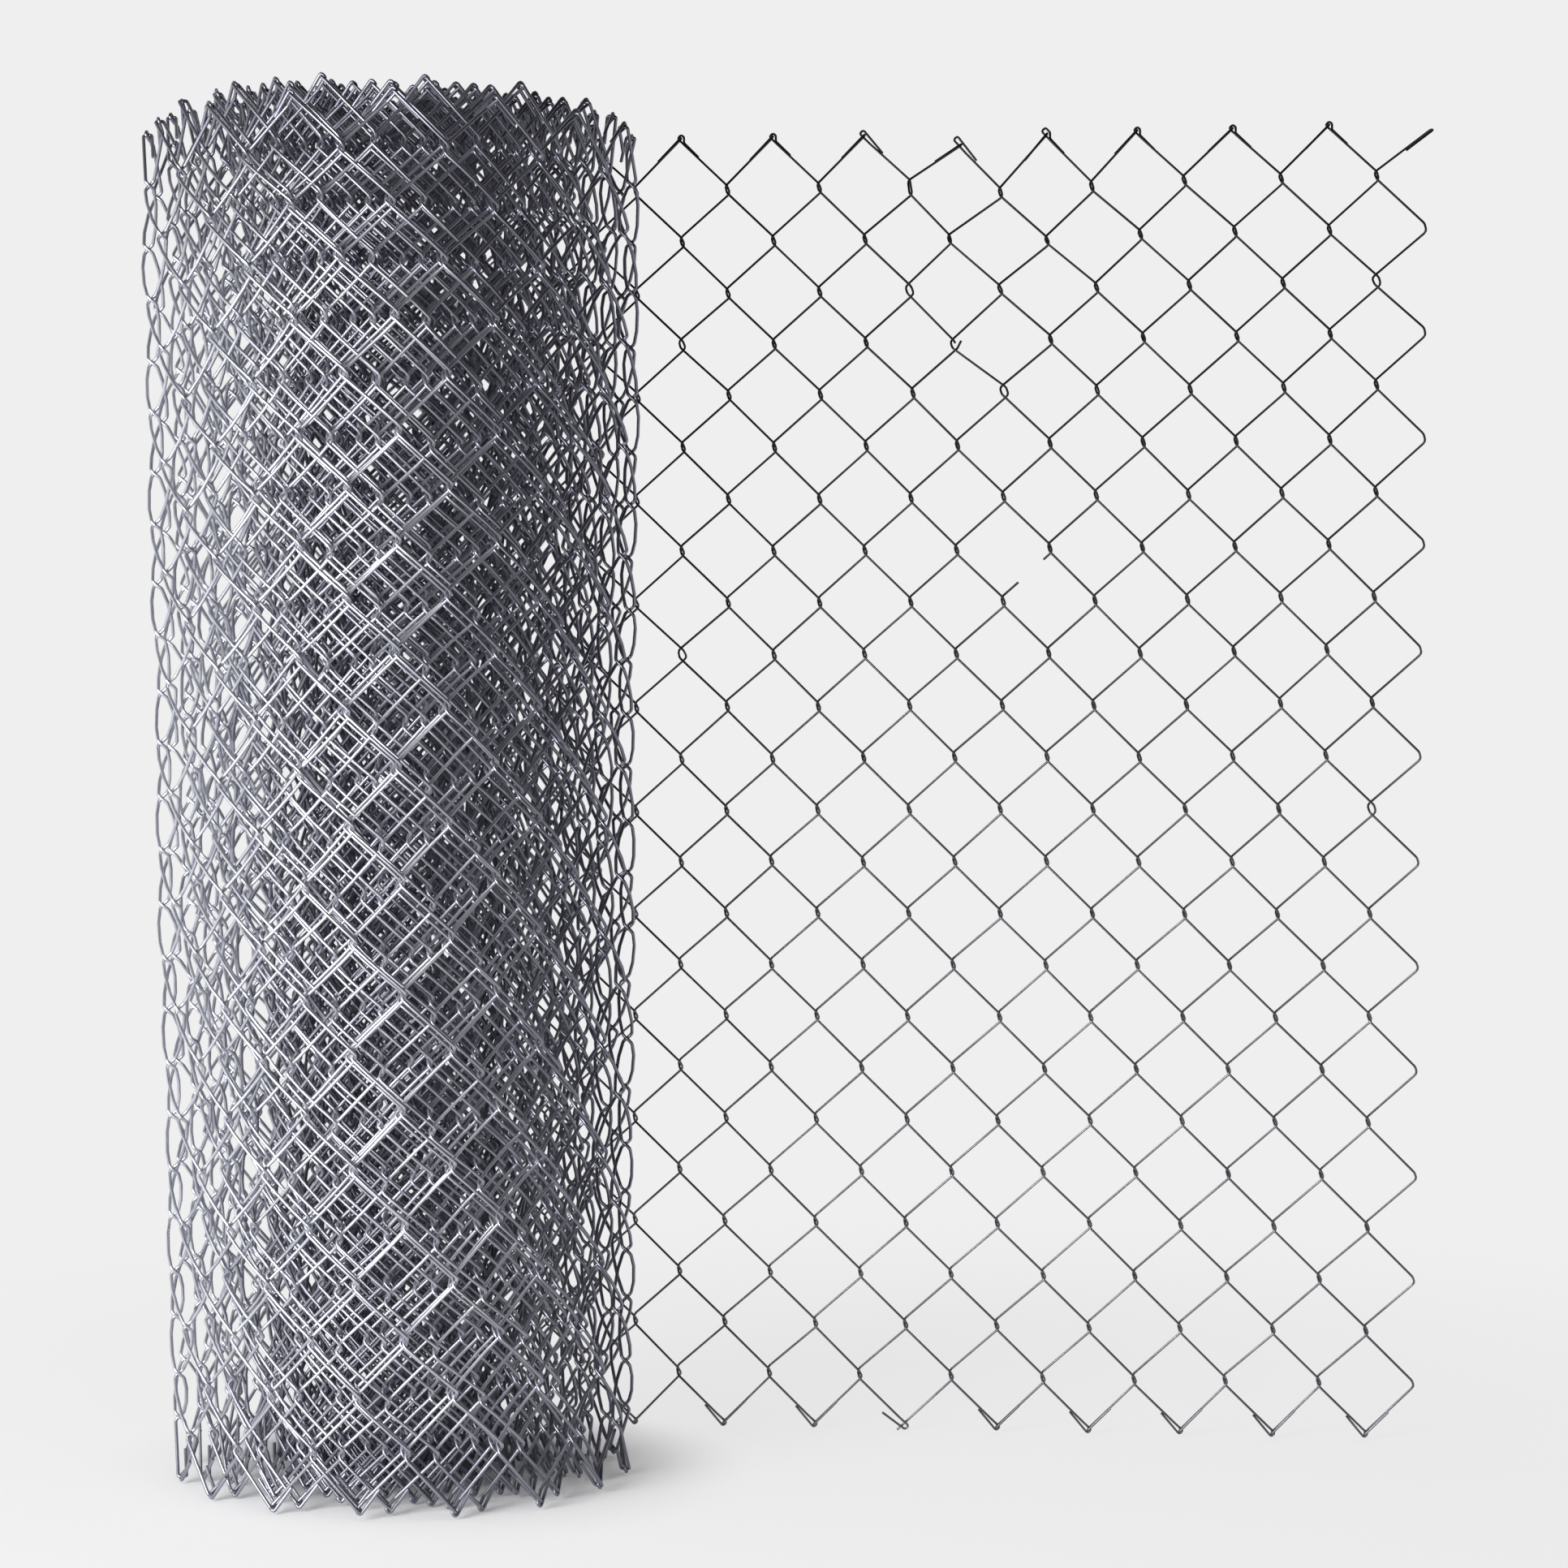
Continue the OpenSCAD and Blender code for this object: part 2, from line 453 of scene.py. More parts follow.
# A place that no wire lies beyond, to the left or in front
FAR_AWAY = -10.0


def wire_tree():
    """Round wire along straight-sided lines: they stray a little, are bent at the corners and swept."""
    tree, given = new_tree("wire_along_lines", WIRE_INPUTS)
    nodes = Value(tree)
    here = nodes.node("GeometryNodeInputPosition", {}, {})
    noise = nodes.node(
        "ShaderNodeTexNoise",
        {"noise_dimensions": "4D"},
        {"Vector": here, "W": given["Seed"], "Scale": given["Wander Scale"], "Detail": 1.0},
        "Color",
    )
    stray = nodes.scaled(nodes.vectors("SUBTRACT", noise, (0.5, 0.5, 0.5)), given["Wander"])
    lines = nodes.node("GeometryNodeSetPosition", {}, {"Geometry": given["Geometry"], "Offset": stray})

    # The lowest bends rest on the floor, and do not sink into it
    radius = given["Wire Diameter"] * 0.5
    lowest = nodes.node("ShaderNodeCombineXYZ", {}, {"X": FAR_AWAY, "Y": FAR_AWAY, "Z": radius})
    rested = nodes.vectors("MAXIMUM", here, lowest)
    lines = nodes.node("GeometryNodeSetPosition", {}, {"Geometry": lines, "Position": rested})
    share = nodes.node("GeometryNodeInputRadius", {}, {})
    bent = nodes.node(
        "GeometryNodeFilletCurve",
        {"mode": "POLY"},
        {
            "Curve": lines,
            "Count": given["Bend Points"] * nodes.maths("CEIL", share, 0.0),
            "Radius": share * given["Bend Radius"],
            "Limit Radius": True,
        },
    )
    bent = nodes.node("GeometryNodeSetCurveRadius", {}, {"Curve": bent, "Radius": 1.0})
    section = nodes.node(
        "GeometryNodeCurvePrimitiveCircle",
        {"mode": "RADIUS"},
        {"Resolution": given["Sides"], "Radius": radius},
    )
    index = nodes.node("GeometryNodeInputIndex", {}, {})
    swept = nodes.node(
        "GeometryNodeCurveToMesh",
        {},
        {
            "Curve": stored(bent, "ring", index),
            "Profile Curve": stored(section, "side", index),
            "Fill Caps": True,
        },
    )
    close_tree(tree, nodes.node("GeometryNodeSetShadeSmooth", {}, {"Geometry": swept}))
    return tree


def swept_wire(nodes, tree, given, lines):
    """Adds the wire tree to another tree and ends that one in a single mesh with its material."""
    sockets = {name: given[name] for name in WIRE_INPUTS}
    wire = nodes.node("GeometryNodeGroup", {"node_tree": tree}, {"Geometry": lines, **sockets})
    whole = nodes.node("GeometryNodeRealizeInstances", {}, {"Geometry": wire})
    return nodes.node("GeometryNodeSetMaterial", {}, {"Geometry": whole, "Material": given["Finish"]})


def drawn_tree(wire):
    """One wire of the free end, along the lines of a curve object."""
    inputs = {"Lines": "NodeSocketObject", **WIRE_INPUTS, "Finish": "NodeSocketMaterial"}
    tree, given = new_tree("drawn_wire", inputs)
    nodes = Value(tree)
    lines = nodes.node("GeometryNodeObjectInfo", {}, {"Object": given["Lines"]}, "Geometry")
    close_tree(tree, swept_wire(nodes, wire, given, lines))
    return tree


def named(nodes, name, kind):
    """A value that every point of the geometry holds under a name."""
    return nodes.node("GeometryNodeInputNamedAttribute", {"data_type": kind}, {"Name": name})


def winding_tree(wire):
    """Wires stood on the points of a winding, turned to its heading and leaned with the roll."""
    inputs = {**WINDING_INPUTS, **WIRE_INPUTS, "Finish": "NodeSocketMaterial"}
    tree, given = new_tree("wound_wires", inputs)
    nodes = Value(tree)
    turn = nodes.node("ShaderNodeCombineXYZ", {}, {"Z": named(nodes, "heading", "FLOAT")})
    rotation = nodes.node("FunctionNodeEulerToRotation", {}, {"Euler": turn})
    narrower = nodes.node("ShaderNodeCombineXYZ", {}, {"X": 1.0 - given["Closed"], "Y": 1.0, "Z": 1.0})
    looped = named(nodes, "looped", "BOOLEAN")
    folded = nodes.node("FunctionNodeBooleanMath", {"operation": "NOT"}, {0: looped})
    stood = []
    for kind, chosen in (("Folded Wire", folded), ("Looped Wire", looped)):
        lines = nodes.node("GeometryNodeObjectInfo", {}, {"Object": given[kind]}, "Geometry")
        sockets = {
            "Points": given["Geometry"],
            "Selection": chosen,
            "Instance": lines,
            "Rotation": rotation,
            "Scale": narrower,
        }
        stood.append(nodes.node("GeometryNodeInstanceOnPoints", {}, sockets))
    both = nodes.node("GeometryNodeJoinGeometry", {}, {"Geometry": stood[0]})
    tree.links.new(stood[1].socket, both.socket.node.inputs["Geometry"])
    lines = nodes.node("GeometryNodeRealizeInstances", {}, {"Geometry": both})

    # The top of the roll is wider and further left than its bottom, and sags on the left and the right
    here = nodes.node("GeometryNodeInputPosition", {}, {})
    across, height = nodes.part(here, "X"), nodes.part(here, "Z")
    seated = named(nodes, "seated", "FLOAT")
    upwards = nodes.maths("DIVIDE", height, given["Fabric Height"])
    share = (upwards - 0.5) * seated
    radial = nodes.vectors("NORMALIZE", nodes.vectors("MULTIPLY", here, (1.0, 1.0, 0.0)))
    wider = nodes.scaled(radial, share * given["Taper"])
    sideways = across * given["Oval"] * seated - share * given["Lean"]

    # The fabric is bowed most halfway up, and not at all at its edges
    bowed = named(nodes, "sway", "FLOAT") * given["Wave"] * upwards * (1.0 - upwards) * 4.0
    taller = (named(nodes, "rise", "FLOAT") - across * across * given["Sag"] * seated) * upwards + bowed
    leaned = nodes.node("ShaderNodeCombineXYZ", {}, {"X": sideways, "Z": taller})
    offset = nodes.vectors("ADD", wider, leaned)
    lines = nodes.node("GeometryNodeSetPosition", {}, {"Geometry": lines, "Offset": offset})
    wander = given["Wander"] + named(nodes, "inner", "FLOAT") * given["Crush"]
    close_tree(tree, swept_wire(nodes, wire, {**given, "Wander": wander}, lines))
    return tree


def shape(host, tree, values):
    """Runs a tree on an object and leaves the result in it as a plain mesh."""
    modifier = host.modifiers.new(tree.name, "NODES")
    modifier.node_group = tree
    for item in tree.interface.items_tree:
        if item.in_out == "INPUT" and item.name in values:
            modifier[item.identifier] = values[item.name]
    graph = bpy.context.evaluated_depsgraph_get()
    evaluated = host.evaluated_get(graph)
    mesh = bpy.data.meshes.new_from_object(evaluated, preserve_all_data_layers=True, depsgraph=graph)
    host.modifiers.remove(modifier)
    start = host.data
    host.data = mesh
    mesh.name = host.name
    bpy.data.meshes.remove(start)


def taken(mesh, name):
    """The values of an attribute, which the mesh then loses."""
    attribute = mesh.attributes[name]
    values = np.zeros(len(attribute.data), np.int32)
    attribute.data.foreach_get("value", values)
    mesh.attributes.remove(attribute)
    return values


MAP_NAME = "OFBake"
RINGS_PER_CELL = 8
CELL_MARGIN = 0.04
CAP_R = 0.4


def lay_out(mesh, sides):
    """Gives a swept wire a UV map in which short stretches of it fill the cells of a grid."""
    ring, side = taken(mesh, "ring"), taken(mesh, "side")
    vertex = np.zeros(len(mesh.loops), np.int32)
    mesh.loops.foreach_get("vertex_index", vertex)
    start = np.zeros(len(mesh.polygons), np.int32)
    mesh.polygons.foreach_get("loop_start", start)
    corners = np.diff(np.append(start, len(vertex)))
    ring, side = ring[vertex], side[vertex]
    first_ring = np.repeat(np.minimum.reduceat(ring, start), corners)
    last_ring = np.repeat(np.maximum.reduceat(ring, start), corners)
    last_side = np.repeat(np.maximum.reduceat(side, start), corners)
    cell = first_ring // RINGS_PER_CELL
    along = (ring - cell * RINGS_PER_CELL) / RINGS_PER_CELL
    across = np.where((side == 0) & (last_side == sides - 1), sides, side) / sides

    # The caps at the ends of the wires are small discs in a cell of their own
    capped = first_ring == last_ring
    turn = 2 * math.pi * side / sides
    cell = np.where(capped, cell.max() + 1, cell)
    along = np.where(capped, 0.5 + CAP_R * np.cos(turn), along)
    across = np.where(capped, 0.5 + CAP_R * np.sin(turn), across)

    columns = math.ceil(math.sqrt(cell.max() + 1))
    inside = 1 - 2 * CELL_MARGIN
    u = (cell % columns + CELL_MARGIN + inside * along) / columns
    v = (cell // columns + CELL_MARGIN + inside * across) / columns
    layer = mesh.uv_layers.new(name=MAP_NAME)
    layer.uv.foreach_set("vector", np.c_[u, v].astype(np.float32).ravel())


def finish_piece(piece, node, sides):
    """Gives a wire mesh its map and puts it in the place of a node of the part."""
    lay_out(piece.data, sides)
    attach(piece, "root")
    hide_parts(node)


def empty_nodes(data):
    """The node tree of a material or a world, emptied, as a value that adds nodes to it."""
    data.use_nodes = True
    data.node_tree.nodes.clear()
    return Value(data.node_tree)


def eased(nodes, value, low, high):
    """A value that eases from 0 to 1 as another goes from low to high, of which low may be the larger."""
    return nodes.node(
        "ShaderNodeMapRange",
        {"interpolation_type": "SMOOTHSTEP"},
        {"Value": value, "From Min": low, "From Max": high},
    )


def blend(nodes, share, first, second):
    """A colour that passes from the first into the second as a share goes from 0 to 1."""
    sockets = {"Factor_Float": share, "A_Color": first, "B_Color": second}
    return nodes.node("ShaderNodeMix", {"data_type": "RGBA"}, sockets, 2)


def zinc(name, finish, shade_tone, unshaded_share):
    """Zinc coat on drawn wire, greyed in patches, which a mask passes into a tone of painted shade."""
    material = bpy.data.materials.new(name)
    nodes = empty_nodes(material)
    where = nodes.node("ShaderNodeTexCoord", {}, {}, "Object")

    def grain(scale, detail):
        return nodes.node(
            "ShaderNodeTexNoise", {}, {"Vector": where, "Scale": scale, "Detail": detail}, "Fac"
        )

    patches = eased(nodes, grain(finish.patches, 3.0), finish.patch_from, finish.patch_to)
    spangle = grain(finish.spangles, 2.0)
    wear = patches * finish.patch_share + spangle * (1 - finish.patch_share)
    clean = blend(nodes, wear, (*finish.bright, 1), (*finish.grey, 1))
    # Where the mask is low, the zinc takes the tone of painted shade in place of its own colour
    tone = blend(nodes, unshaded_share(nodes, where), (*shade_tone, 1), clean)
    roughness = wear * (finish.dull - finish.shine) + finish.shine
    ripples = nodes.node(
        "ShaderNodeBump",
        {},
        {
            "Strength": finish.ripple_strength,
            "Distance": finish.ripple_depth,
            "Height": grain(finish.ripples, 1.0),
        },
    )
    shader = nodes.node(
        "ShaderNodeBsdfPrincipled",
        {},
        {"Base Color": tone, "Metallic": 1.0, "Roughness": roughness, "Normal": ripples},
    )
    nodes.node("ShaderNodeOutputMaterial", {}, {"Surface": shader})
    return material


# Where the roll's painted shade passes into the zinc's own colour: by radius for the inner turns, by height
# at both rims, and by place across for its unlit right side, which is further left for each metre up
INNER_EDGE = (0.08, 0.165)
LOWER_RIM = (-0.05, 0.12)
UPPER_RIM = (FENCE_H + 0.05, FENCE_H - 0.2)
RIGHT_SIDE = (0.170, 0.0)
RIGHT_SLANT = 0.07

# Where the free end's painted shade passes into the zinc's own colour: by place across, by the roll, and by
# height, where it lightens only some way lower down
NEAR_ROLL = (0.10, 0.0)
NEAR_FOOT = (1.1, 0.3)
FOOT_SHARE = 0.22


def roll_free_of_painted_shade(nodes, where):
    """Share of the roll's zinc without painted shade, which darkens its inner turns, rims and right side."""
    out = nodes.vectors("LENGTH", nodes.vectors("MULTIPLY", where, (1, 1, 0)), output="Value")
    across, height = nodes.part(where, "X"), nodes.part(where, "Z")
    rims = eased(nodes, height, *LOWER_RIM) * eased(nodes, height, *UPPER_RIM)
    side = eased(nodes, across + (height - FENCE_H / 2) * RIGHT_SLANT, *RIGHT_SIDE)
    return eased(nodes, out, *INNER_EDGE) * side * rims


def free_end_free_of_painted_shade(nodes, where):
    """Share without painted shade: none on the free end but by the roll, and a little lower down."""
    by_roll = eased(nodes, nodes.part(where, "X"), *NEAR_ROLL)
    by_foot = eased(nodes, nodes.part(where, "Z"), *NEAR_FOOT) * FOOT_SHARE
    return nodes.maths("MAXIMUM", by_roll, by_foot)


def wire_values(fabric, settings, finish):
    """Inputs of the wire tree."""
    return {
        "Wire Diameter": settings.wire_d,
        "Bend Radius": fabric.bend_r,
        "Bend Points": fabric.bend_points,
        "Sides": settings.sides,
        "Wander": settings.wander,
        "Wander Scale": settings.wander_scale,
        "Seed": float(settings.seed),
        "Finish": finish,
    }


# Waves along the winding, each with its length and its start counted in wires. The rise of the inner turns
# swells by a share of it, and the fabric sways slowly for the most part and quickly for the rest.
SWELL_WAVE = (40.8407, -4.55)
SWELL_SHARE = 0.2
SLOW_WAVE = (41, 16)
SLOW_SHARE = 0.6
QUICK_WAVE = (23, 10)

# Rounds in which the step to the next hook is fitted to the width of a column
FITTING_ROUNDS = 8


def wave(index, period, start):
    """Height of a wave at a wire, from -1 to 1."""
    return math.sin(2 * math.pi * (index - start) / period)


class FENCE_OT_wind_turns(bpy.types.Operator):
    """Wind the fabric inwards from the free end to the bore"""

    bl_idname = "fence.wind_turns"
    bl_label = "Wind the turns"

    attributes = {
        "heading": "FLOAT",
        "looped": "BOOLEAN",
        "seated": "FLOAT",
        "inner": "FLOAT",
        "rise": "FLOAT",
        "sway": "FLOAT",
    }

    def execute(self, context):
        scene = context.scene
        fabric, winding = scene.fence_fabric, scene.fence_winding
        weave = Weave(fabric, fabric.wire_d)
        folded = line_object("folded_wire", [weave.bowed_line(True, winding.bow)])
        looped = line_object("looped_wire", [weave.bowed_line(False, winding.bow)])
        colours = scene.fence_finish
        # The roll's material, with painted shade on its inner turns, its rims and its unlit right side
        finish = zinc("bright_zinc", colours, colours.shaded, roll_free_of_painted_shade)
        tree = winding_tree(wire_tree())
        values = {
            **wire_values(fabric, winding, finish),
            "Folded Wire": folded,
            "Looped Wire": looped,
            "Fabric Height": FENCE_H,
            "Closed": winding.closed,
            "Oval": winding.oval,
            "Taper": winding.taper,
            "Lean": winding.lean,
            "Sag": winding.sag / FREE_END_Y**2,
            "Wave": winding.wave,
            "Crush": winding.crush,
        }
        wires = self.stand_wires(weave, winding)
        for i, share in enumerate(np.array_split(np.arange(len(wires)), winding.pieces)):
            piece = self.points_object(f"wound_turns_{i + 1}", [wires[k] for k in share])
            shape(piece, tree, values)
            finish_piece(piece, "roll", winding.sides)
        for helper in (folded, looped):
            bpy.data.objects.remove(helper)
        return {"FINISHED"}

    def radius(self, turn, weave, winding):
        """Radius of the fabric's middle after some turns, from the free end inwards."""
        inner = BORE_R + weave.face_y + weave.sizes.wire_d / 2
        room = FREE_END_Y - inner - winding.loose_room
        loose = winding.loose_room * (1 - math.exp(-turn / winding.loose_turns))
        return FREE_END_Y - loose - room * turn / winding.turns

    def stand_wires(self, weave, winding):
        """Place, heading and kind of every wire, between hooks that lie one column apart."""
        random = np.random.default_rng(winding.seed)
        column_w = COLUMN_W * (1 - winding.closed)

        def hook(turn):
            bearing = 2 * math.pi * turn + math.pi / 2
            r = self.radius(turn, weave, winding)
            return np.array((r * math.cos(bearing), r * math.sin(bearing)))

        wires = []
        before = np.array((FIRST_COLUMN_X, FREE_END_Y))
        turn = 0.0
        while turn < winding.turns:
            step = column_w / (2 * math.pi * self.radius(turn, weave, winding))
            for _ in range(FITTING_ROUNDS):
                step *= column_w / np.linalg.norm(hook(turn + step) - before)
            turn += step
            after = hook(turn)
            way = before - after
            index = len(wires)
            looped = index % 2 == 0
            seated, inner = smooth(turn / winding.seat_turn), smooth(turn / winding.rise_turns)
            swell = 1 - SWELL_SHARE + SWELL_SHARE * wave(index, *SWELL_WAVE)
            sway = SLOW_SHARE * wave(index, *SLOW_WAVE) + (1 - SLOW_SHARE) * wave(index, *QUICK_WAVE)
            wires.append(
                {
                    "place": (*((before + after) / 2), winding.jitter * random.random() * seated),
                    "heading": math.atan2(way[1], way[0]) + (math.pi if looped else 0),
                    "looped": looped,
                    "seated": seated,
                    "inner": inner,
                    "rise": winding.rise * swell * inner,
                    "sway": sway * seated,
                }
            )
            before = after
        return wires

    def points_object(self, name, wires):
        """A mesh of one point for each wire, which holds how the wire stands."""
        mesh = bpy.data.meshes.new(name)
        mesh.from_pydata([wire["place"] for wire in wires], [], [])
        for attribute, kind in self.attributes.items():
            layer = mesh.attributes.new(attribute, kind, "POINT")
            layer.data.foreach_set("value", [wire[attribute] for wire in wires])
        return link(mesh, name)


# Hooks of the free end that stand open, as a column, counted from the roll, and a row from the top
OPEN_HOOKS = [(5, 10), (10, 3), (12, 5), (20, 3), (20, 13)]

# Hooks of which only the wire on the right stands open, and hooks that were drawn long
HALF_OPEN_HOOKS = [(5, 4), (11, 4)]
LONG_HOOKS = [(10, 1)]

# Wires whose loop at the top stands open, and wires whose loop reaches past the tip as a spike
OPEN_TOPS = (10, 12)
SPIKES = {10: 0.002, 12: 0.005, 14: 0.003}

# The wire whose end at the bottom stands open, and the one whose end there was never folded
OPEN_FOOT = 10
BARE_FOOT = 11

# The last wire's loose fold: shares in its move of its tail and of the two corners at its tip, and how far
# its tail has sunk below its run, in steps between hooked wires
LOOSE_SHARES = (0.5, 1, 1)
LOOSE_SINK = 0.8

# Share of the free end's length over which it comes to lean, and share of a hook left on a parted wire
LEAN_SHARE = 0.25
HOOK_LEFT = 0.25

# Places where the free end was knocked: a column and a row, how far it gave way, and how far round
KNOCKS = [
    ((11.3, 2.2), (-0.0075, 0, 0), 0.050),
    ((12.0, 1.0), (0, 0, -0.0065), 0.050),
    ((11.0, 4.0), (-0.003, 0, -0.004), 0.030),
    ((11.0, 0.0), (0.005, 0, -0.009), 0.030),
    ((13.5, 1.5), (-0.002, 0, -0.004), 0.040),
    ((15.5, 0.5), (-0.006, 0, 0), 0.090),
]


class FENCE_OT_draw_free_end(bpy.types.Operator):
    """Draw the free end out straight, with its broken wire, open hooks and knocks"""

    bl_idname = "fence.draw_free_end"
    bl_label = "Draw out the free end"

    def execute(self, context):
        scene = context.scene
        fabric, free_end, finish = scene.fence_fabric, scene.fence_free_end, scene.fence_finish
        weave = Weave(fabric, free_end.wire_d)
        tree = drawn_tree(wire_tree())
        # The free end's material, painted in shade as though it stood unlit
        dark = zinc("dark_zinc", finish, finish.dark, free_end_free_of_painted_shade)
        values = wire_values(fabric, free_end, dark)
        for number, node in enumerate(FREE_WIRES, start=1):
            lines = line_object("lines", self.wire_lines(number, weave, free_end))
            piece = link(bpy.data.meshes.new("drawn"), f"drawn_{node}")
            shape(piece, tree, {**values, "Lines": lines})
            finish_piece(piece, node, free_end.sides)
            bpy.data.objects.remove(lines)
        return {"FINISHED"}

    def wire_lines(self, number, weave, free_end):
        """Lines of one wire in its place: two where it is broken, and otherwise one."""
        folded = number % 2 == 1
        line, ends = weave.line(folded, number not in OPEN_TOPS, self.odd_hooks(number, weave, free_end))
        line = self.opened(line, number, ends, weave, free_end)
        way = 1 if folded else -1
        middle = FIRST_COLUMN_X + (number - 0.5) * COLUMN_W
        line[:, :3] = line[:, :3] * (way, way, 1) + (middle, FREE_END_Y, 0)
        line[:, :3] += self.knocked(line, weave)
        line[:, :3] += self.drawn(line, free_end)
        if number == free_end.broken_wire:
            lower = ends + 2 * free_end.broken_run
            run = unit(line[lower, :3] - line[lower - 1, :3])
            return self.parted(line, lower, run * free_end.upper_stub, -run * free_end.lower_stub)
        if number == free_end.parted_wire:
            lower = ends + 2 * free_end.parted_level - 1
            run = line[lower, :3] - line[lower - 1, :3]
            return self.parted(line, lower, run * HOOK_LEFT, free_end.parted_stub)
        return [line]

    def odd_hooks(self, number, weave, free_end):
        """Reach and drop of a wire's hooks that stand open or were drawn long, by level."""
        open_rows = [row for column, row in OPEN_HOOKS if number in (column, column + 1)]
        open_rows += [row for column, row in HALF_OPEN_HOOKS if number == column + 1]
        long_rows = [row for column, row in LONG_HOOKS if number in (column, column + 1)]
        hooks = {row: (free_end.eye_reach, weave.drop) for row in open_rows}
        hooks.update({row: (weave.step / 2, weave.drop * free_end.long_hook) for row in long_rows})
        return hooks

    def parted(self, line, lower, upper_stub, lower_stub):
        """Two lines in place of one that has parted before a corner, with a stub on each side."""
        return [
            np.vstack((line[:lower], line[lower - 1] + (*upper_stub, 0))),
            np.vstack((line[lower] + (*lower_stub, 0), line[lower:])),
        ]

    def opened(self, line, number, ends, weave, free_end):
        """The line with the ends that have come open."""
        if number in SPIKES:
            line[ends - 3 : ends - 1, :3] += weave.along * SPIKES[number]
        if number == len(FREE_WIRES):
            line[:3, :3] += np.outer(LOOSE_SHARES, free_end.loose_tip)
            line[:2, :3] -= weave.outward * weave.step * LOOSE_SINK
        if number == OPEN_FOOT:
            line[-1, :3] += (weave.outward * (-1, 1, -1)) * free_end.tail_stand
        if number == BARE_FOOT:
            run = unit(line[-3, :3] - line[-4, :3])
            line = np.vstack((line[:-3], line[-3] + (*run * free_end.bare_tip, 0)))
        return line

    def knocked(self, line, weave):
        """How far knocks have pushed the corners of a line aside."""
        moved = np.zeros((len(line), 3))
        for (column, row), push, reach in KNOCKS:
            centre = (FIRST_COLUMN_X + column * COLUMN_W, weave.tip[2] - row * weave.half_row)
            far = np.hypot(line[:, 0] - centre[0], line[:, 2] - centre[1])
            moved += np.outer(np.exp(-((far / reach) ** 2)), push)
        return moved

    def drawn(self, line, free_end):
        """How far a line leans and is stretched, except where it leaves the roll."""
        out = (line[:, 0] - FIRST_COLUMN_X) / (len(FREE_WIRES) * COLUMN_W)
        upwards = line[:, 2] / FENCE_H
        peaked = np.minimum(upwards, 2 * free_end.stretch_peak - upwards)
        settled = smooth(out / LEAN_SHARE)
        aside = settled * free_end.lean * (peaked - 0.5)
        taller = settled * (free_end.stretch * peaked + free_end.far_stretch * upwards * out**2)
        return np.c_[aside, np.zeros(len(line)), taller]


def rays(nodes, kind):
    """1 for rays of a kind, and 0 for others."""
    return nodes.node("ShaderNodeLightPath", {}, {}, f"Is {kind} Ray")


def seen_rays(nodes):
    """1 for rays that show the background: from the camera, off metal and through glass."""
    straight = nodes.maths("MAXIMUM", rays(nodes, "Camera"), rays(nodes, "Transmission"))
    return nodes.maths("MAXIMUM", straight, rays(nodes, "Glossy"))


# The floor: how far it reaches, where the shadow round the roll ends, and where that round the whole object
# does, by the distance from its middle
FLOOR_REACH = 60.0
ROLL_SHADOW = (0.16, 0.32)
WHOLE_SHADOW = (0.5, 1.6)
WHOLE_MIDDLE = (0.35, 0, 0)

# Way to the pale side of the studio, and where along it the dim side ends, on the floor and in the world
PALE_WAY = (-0.3, 0.954, 0)
FLOOR_DIM = (-2.4, -1.2)
WORLD_DIM = (0.15, 0.5)

# Width of the camera's frame in millimetres
FRAME_W = 36


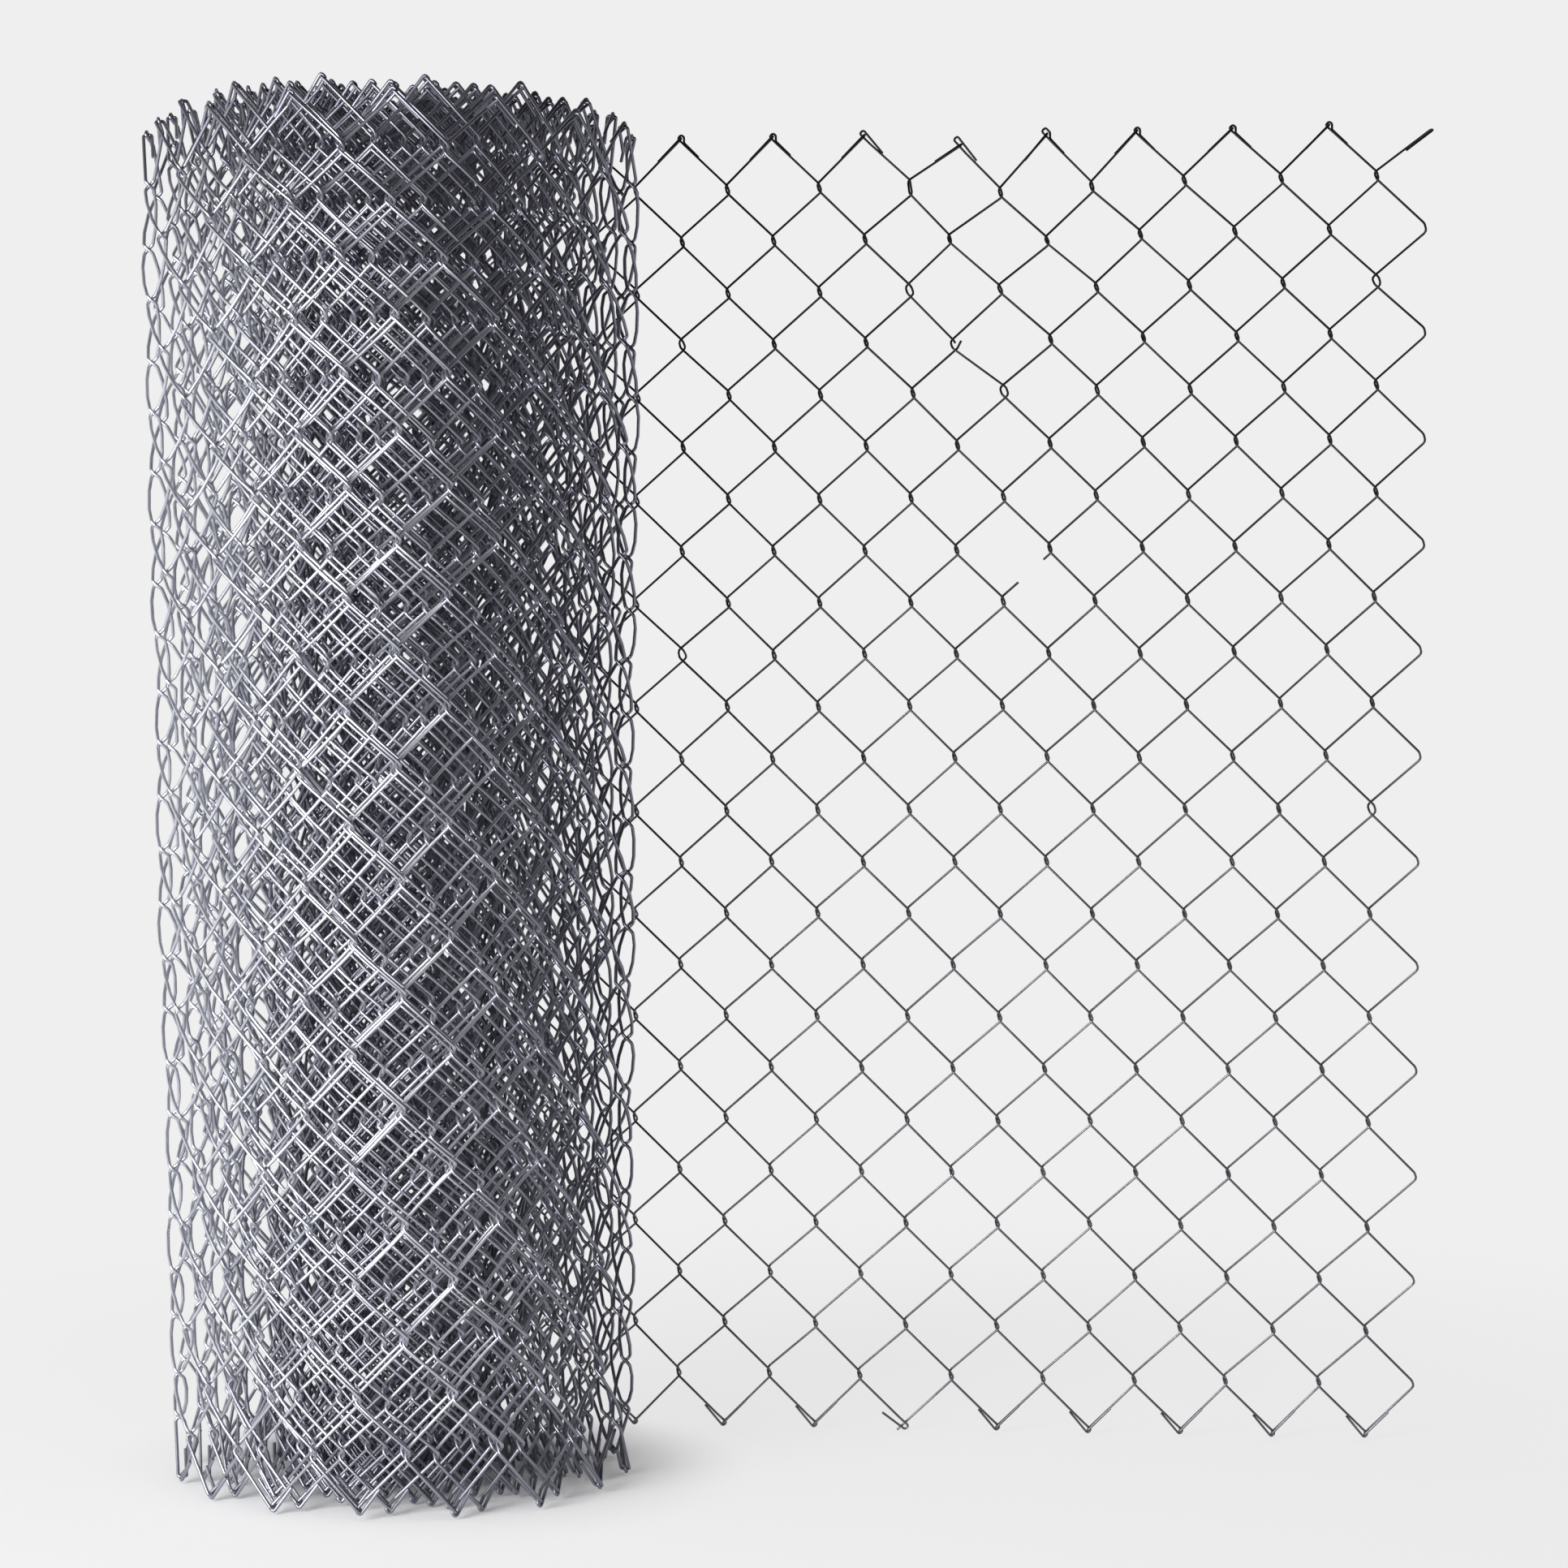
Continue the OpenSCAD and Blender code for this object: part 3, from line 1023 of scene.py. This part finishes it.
class FENCE_OT_set_stage(bpy.types.Operator):
    """Set the camera, the light, the floor and the background"""

    bl_idname = "fence.set_stage"
    bl_label = "Set the stage"

    def execute(self, context):
        studio = context.scene.fence_studio
        context.scene.view_settings.view_transform = "Standard"
        self.add_camera(context, studio)
        self.add_light("key", studio.key, studio.key_power, studio)
        self.add_light("side", studio.side, studio.side_power, studio)
        self.add_floor(studio)
        self.light_world(context, studio)
        return {"FINISHED"}

    def add_camera(self, context, studio):
        """The camera that the scene is seen by."""
        data = bpy.data.cameras.new("camera")
        data.sensor_width = FRAME_W
        data.lens = studio.lens
        camera = link(data, "camera")
        camera.location = studio.camera
        camera.rotation_euler = (math.pi / 2 - studio.pitch, 0, studio.heading)
        context.scene.camera = camera

    def add_light(self, name, location, power, studio):
        """A soft light that faces the middle of the roll."""
        data = bpy.data.lights.new(name, "AREA")
        data.shape = "RECTANGLE"
        data.size = studio.light_width
        data.size_y = studio.light_height
        data.energy = power
        light = link(data, name)
        light.location = location
        aim = Vector((0, 0, FENCE_H / 2)) - light.location
        light.rotation_euler = aim.to_track_quat("-Z", "Y").to_euler()

    def add_floor(self, studio):
        """A wide floor that keeps the shadow near the object and passes into the background far off."""
        mesh = bpy.data.meshes.new("floor")
        signs = ((-1, -1), (1, -1), (1, 1), (-1, 1))
        mesh.from_pydata([(x * FLOOR_REACH, y * FLOOR_REACH, 0) for x, y in signs], [], [(0, 1, 2, 3)])
        floor = link(mesh, "floor")
        material = bpy.data.materials.new("pale_floor")
        mesh.materials.append(material)
        nodes = empty_nodes(material)
        where = nodes.node("ShaderNodeTexCoord", {}, {}, "Object")
        from_roll = nodes.vectors("LENGTH", where, output="Value")
        from_middle = nodes.vectors("DISTANCE", where, WHOLE_MIDDLE, "Value")
        near = eased(nodes, from_roll, *ROLL_SHADOW) * studio.floor_glow
        fade = near + eased(nodes, from_middle, *WHOLE_SHADOW) * (1 - studio.floor_glow)
        plain = nodes.node("ShaderNodeBsdfDiffuse", {}, {"Color": (*studio.floor, 1)})
        tone = self.studio_tone(nodes, studio, where, FLOOR_DIM)
        glow = nodes.node("ShaderNodeEmission", {}, {"Color": tone})
        mixed = nodes.node("ShaderNodeMixShader", {}, {0: fade * seen_rays(nodes), 1: plain, 2: glow})
        nodes.node("ShaderNodeOutputMaterial", {}, {"Surface": mixed})

    def studio_tone(self, nodes, studio, where, dim_end):
        """Colour of the background, in which the metal shows a dim side in front and on the right."""
        towards = nodes.vectors("DOT_PRODUCT", where, PALE_WAY, "Value")
        share = nodes.maths("MAXIMUM", eased(nodes, towards, *dim_end), 1.0 - rays(nodes, "Glossy"))
        dim = [studio.dim] * 3
        return blend(nodes, share, (*dim, 1), (*studio.backdrop, 1))

    def light_world(self, context, studio):
        """A world that lights dull surfaces evenly and shows the background."""
        world = bpy.data.worlds.new("studio")
        context.scene.world = world
        nodes = empty_nodes(world)
        level = [studio.ambient] * 3
        soft = nodes.node("ShaderNodeBackground", {}, {"Color": (*level, 1)})
        where = nodes.node("ShaderNodeTexCoord", {}, {}, "Generated")
        tone = self.studio_tone(nodes, studio, where, WORLD_DIM)
        shown = nodes.node("ShaderNodeBackground", {}, {"Color": tone})
        mixed = nodes.node("ShaderNodeMixShader", {}, {0: seen_rays(nodes), 1: soft, 2: shown})
        nodes.node("ShaderNodeOutputWorld", {}, {"Surface": mixed})


OPERATORS = (FENCE_OT_wind_turns, FENCE_OT_draw_free_end, FENCE_OT_set_stage)
SETTINGS = {
    "fence_fabric": FabricSizes,
    "fence_winding": WindingSizes,
    "fence_free_end": FreeEndSizes,
    "fence_finish": WireFinish,
    "fence_studio": StudioSettings,
}


class FENCE_PT_roll(bpy.types.Panel):
    """Sizes, finishes and steps of the roll of fencing"""

    bl_idname = "FENCE_PT_roll"
    bl_label = "Roll of wire fencing"
    bl_space_type = "VIEW_3D"
    bl_region_type = "UI"
    bl_category = "Fencing"

    def draw(self, context):
        for setting, group in SETTINGS.items():
            box = self.layout.box()
            box.label(text=group.__doc__)
            for name in group.__annotations__:
                box.prop(getattr(context.scene, setting), name)
        for operator in OPERATORS:
            self.layout.operator(operator.bl_idname)


CLASSES = (*SETTINGS.values(), *OPERATORS, FENCE_PT_roll)


def register():
    for added in CLASSES:
        bpy.utils.register_class(added)
    for setting, group in SETTINGS.items():
        setattr(bpy.types.Scene, setting, bpy.props.PointerProperty(type=group))


def unregister():
    for setting in SETTINGS:
        delattr(bpy.types.Scene, setting)
    for added in reversed(CLASSES):
        bpy.utils.unregister_class(added)


def main():
    register()
    bpy.ops.fence.set_stage()
    bpy.ops.fence.wind_turns()
    bpy.ops.fence.draw_free_end()


if __name__ == "__main__":
    main()
